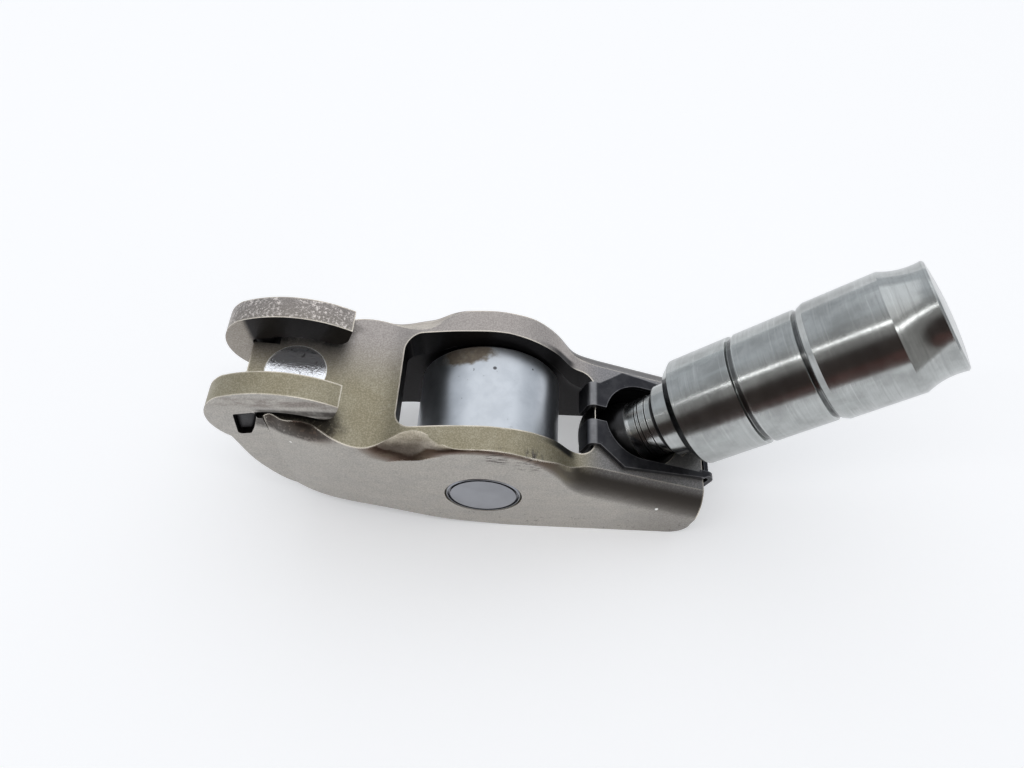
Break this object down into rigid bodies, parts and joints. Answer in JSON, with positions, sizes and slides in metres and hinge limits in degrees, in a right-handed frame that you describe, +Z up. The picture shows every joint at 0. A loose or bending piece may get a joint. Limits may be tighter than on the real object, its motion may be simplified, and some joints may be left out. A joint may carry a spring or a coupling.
{
  "type": "roller rocker arm",
  "caption": "Pressed-steel roller finger follower with a needle-bearing cam roller and a hydraulic lash adjuster clipped into its socket.",
  "frame": {"origin": "centre of the cam roller, on the axle's axis", "axes": "+X along the arm from the valve pad to the adjuster socket, +Y along the axle, +Z up as the arm lies on its cam side, so the pad and hooks face up"},
  "size_m": [0.0711, 0.0169, 0.0304],
  "materials": {
    "forged_arm": "satin",
    "axle_steel": "satin",
    "roller_steel": "polished",
    "bearing_steel": "polished",
    "clip_steel": "satin",
    "adjuster_steel": "polished",
    "spring_steel": "satin"
  },
  "bodies": {
    "arm": {"arm_body": "forged_arm", "roller_axle": "axle_steel", "retaining_clip": "clip_steel"},
    "roller": {"cam_roller": "roller_steel"},
    "needle_set": {"needle_roller_01": "bearing_steel", "needle_roller_02": "bearing_steel", "needle_roller_03": "bearing_steel", "needle_roller_04": "bearing_steel", "needle_roller_05": "bearing_steel", "needle_roller_06": "bearing_steel", "needle_roller_07": "bearing_steel", "needle_roller_08": "bearing_steel", "needle_roller_09": "bearing_steel", "needle_roller_10": "bearing_steel", "needle_roller_11": "bearing_steel", "needle_roller_12": "bearing_steel", "needle_roller_13": "bearing_steel", "needle_roller_14": "bearing_steel", "needle_roller_15": "bearing_steel"},
    "ball_end": {"ball_plunger": "adjuster_steel"},
    "leakdown_unit": {"leakdown_piston": "adjuster_steel", "check_valve_cage": "spring_steel", "check_spring": "spring_steel", "return_spring": "spring_steel"},
    "valve_ball": {"check_ball": "bearing_steel"},
    "barrel": {"adjuster_housing": "adjuster_steel", "retaining_ring": "spring_steel"}
  },
  "joints": [
    {"name": "roller_spin", "type": "hinge", "parent": "arm", "child": "roller", "pos_m": [0, 0, 0], "axis": [0, 1, 0], "continuous": true},
    {"name": "needle_orbit", "type": "hinge", "parent": "arm", "child": "needle_set", "pos_m": [0, 0, 0], "axis": [0, 1, 0], "continuous": true},
    {"name": "adjuster_tilt", "type": "hinge", "parent": "arm", "child": "ball_end", "pos_m": [0.015, 0, -0.0015], "axis": [-0.1483, 0.9874, 0.0549], "range_deg": [-41, 0]},
    {"name": "adjuster_spin", "type": "hinge", "parent": "ball_end", "child": "leakdown_unit", "pos_m": [0.015, 0, -0.0015], "axis": [0.7923, 0.0854, 0.6042], "continuous": true},
    {"name": "check_ball_lift", "type": "slide", "parent": "leakdown_unit", "child": "valve_ball", "axis": [0.7923, 0.0854, 0.6042], "range_m": [0, 0.0003], "stiffness_N_per_m": 2, "springref_m": -0.001, "deforming": ["check_spring"]},
    {"name": "adjuster_stroke", "type": "slide", "parent": "leakdown_unit", "child": "barrel", "axis": [-0.7923, -0.0854, -0.6042], "range_m": [0, 0.0004], "stiffness_N_per_m": 300, "springref_m": -0.001, "deforming": ["return_spring"]}
  ],
  "couplings": [
    {"joint": "needle_orbit", "follows": "roller_spin", "ratio": 0.60396}
  ]
}
